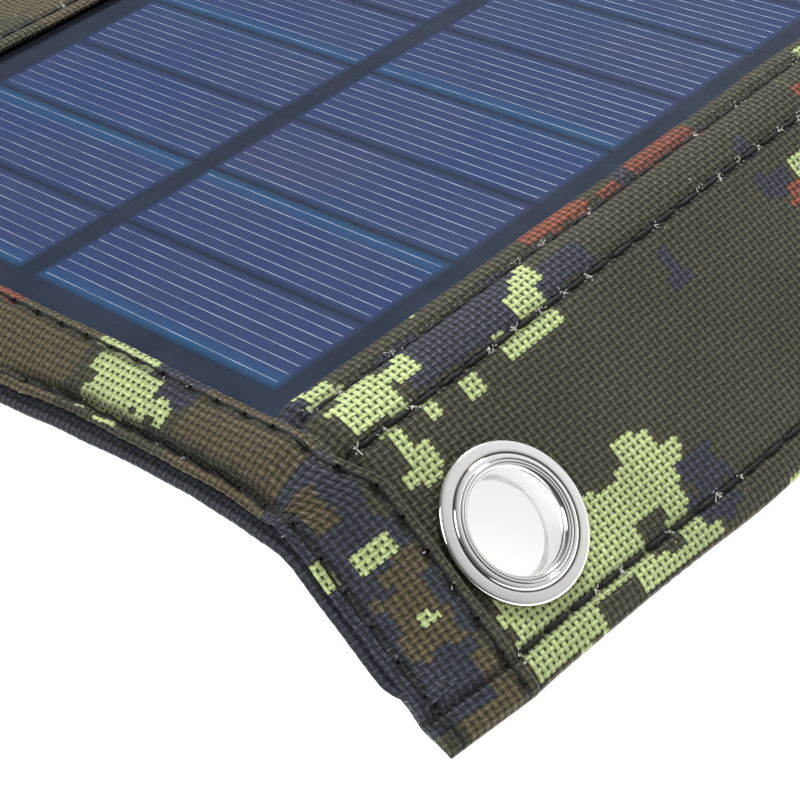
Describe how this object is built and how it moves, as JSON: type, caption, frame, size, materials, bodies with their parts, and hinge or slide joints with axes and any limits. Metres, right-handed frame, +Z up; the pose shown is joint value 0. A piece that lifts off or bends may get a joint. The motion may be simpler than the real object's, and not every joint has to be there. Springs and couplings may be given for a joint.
{
  "type": "folding solar panel",
  "caption": "Folding camping solar charger: framed solar leaves in a cloth strip with fabric folds, an eyelet flap at each end and a flat pouch holding a USB controller.",
  "frame": {"origin": "on the ground, under the middle of the unfolded strip", "axes": "+X along the strip towards the front flap, +Y across the strip, +Z up"},
  "size_m": [0.5466, 0.197, 0.0214],
  "materials": {
    "camo_canvas": "coated canvas, plain weave, square-block camouflage in olive, green, navy and rust",
    "back_canvas": "coated canvas, plain weave",
    "film": "clear glossy polyester film",
    "silicon": "blue-violet silicon with fine silver fingers",
    "backsheet": "dark slate-grey laminate sheet",
    "stiffener": "fibre-reinforced plastic board",
    "lead": "flat insulated twin lead",
    "nickel": "bright nickel plate",
    "hook_and_loop": "black hook-and-loop tape",
    "case": "fine-textured moulded plastic",
    "circuit": "green solder mask",
    "socket_steel": "bright stamped steel"
  },
  "bodies": {
    "leaf_1": {"leaf_1_back_cloth": "back_canvas", "leaf_1_stiffener_board": "stiffener", "leaf_1_backsheet": "backsheet", "leaf_1_cell_string": "silicon", "leaf_1_front_film": "film", "leaf_1_flat_lead": "lead", "leaf_1_front_strip": "camo_canvas", "leaf_1_rear_strip": "camo_canvas", "leaf_1_near_band": "camo_canvas", "leaf_1_far_band": "camo_canvas"},
    "leaf_2": {"leaf_2_back_cloth": "back_canvas", "leaf_2_stiffener_board": "stiffener", "leaf_2_backsheet": "backsheet", "leaf_2_cell_string": "silicon", "leaf_2_front_film": "film", "leaf_2_flat_lead": "lead", "leaf_2_front_strip": "camo_canvas", "leaf_2_rear_strip": "camo_canvas", "leaf_2_near_band": "camo_canvas", "leaf_2_far_band": "camo_canvas"},
    "leaf_3": {"leaf_3_back_cloth": "back_canvas", "leaf_3_stiffener_board": "stiffener", "leaf_3_backsheet": "backsheet", "leaf_3_cell_string": "silicon", "leaf_3_front_film": "film", "leaf_3_flat_lead": "lead", "leaf_3_front_strip": "camo_canvas", "leaf_3_rear_strip": "camo_canvas", "leaf_3_near_band": "camo_canvas", "leaf_3_far_band": "camo_canvas"},
    "leaf_4": {"leaf_4_back_cloth": "back_canvas", "leaf_4_stiffener_board": "stiffener", "leaf_4_backsheet": "backsheet", "leaf_4_cell_string": "silicon", "leaf_4_front_film": "film", "leaf_4_flat_lead": "lead", "leaf_4_front_strip": "camo_canvas", "leaf_4_rear_strip": "camo_canvas", "leaf_4_near_band": "camo_canvas", "leaf_4_far_band": "camo_canvas"},
    "front_flap": {"front_flap_cloth": "camo_canvas", "front_near_eyelet_barrel": "nickel", "front_near_eyelet_washer": "nickel", "front_far_eyelet_barrel": "nickel", "front_far_eyelet_washer": "nickel"},
    "rear_flap": {"rear_flap_cloth": "camo_canvas", "rear_flap_lead": "lead", "rear_near_eyelet_barrel": "nickel", "rear_near_eyelet_washer": "nickel", "rear_far_eyelet_barrel": "nickel", "rear_far_eyelet_washer": "nickel", "pouch_wall": "camo_canvas", "pouch_loop_strip": "hook_and_loop", "controller_case_bottom": "case", "controller_case_top": "case", "circuit_board": "circuit", "usb_socket_1": "socket_steel", "usb_socket_2": "socket_steel"},
    "pouch_lid": {"pouch_lid": "camo_canvas", "lid_hook_strip": "hook_and_loop"}
  },
  "joints": [
    {"name": "fold_1_2", "type": "hinge", "parent": "leaf_2", "child": "leaf_1", "pos_m": [0.13851, 0, 0.0068], "axis": [0, -1, 0], "range_deg": [-7.89, 172]},
    {"name": "fold_2_3", "type": "hinge", "parent": "leaf_2", "child": "leaf_3", "pos_m": [0.02191, 0, -0.0006], "axis": [0, -1, 0], "range_deg": [0, 180]},
    {"name": "fold_3_4", "type": "hinge", "parent": "leaf_3", "child": "leaf_4", "pos_m": [-0.09469, 0, 0.009], "axis": [0, 1, 0], "range_deg": [0, 180]},
    {"name": "front_flap_fold", "type": "hinge", "parent": "leaf_1", "child": "front_flap", "pos_m": [0.24904, 0, 0.01495], "axis": [0, 1, 0], "range_deg": [-45, 132]},
    {"name": "rear_flap_fold", "type": "hinge", "parent": "leaf_4", "child": "rear_flap", "pos_m": [-0.21129, 0, -0.0006], "axis": [0, -1, 0], "range_deg": [0, 180]},
    {"name": "pouch_lid_fold", "type": "hinge", "parent": "rear_flap", "child": "pouch_lid", "pos_m": [-0.21919, 0, 0.01035], "axis": [0, 1, 0], "range_deg": [0, 150]}
  ]
}
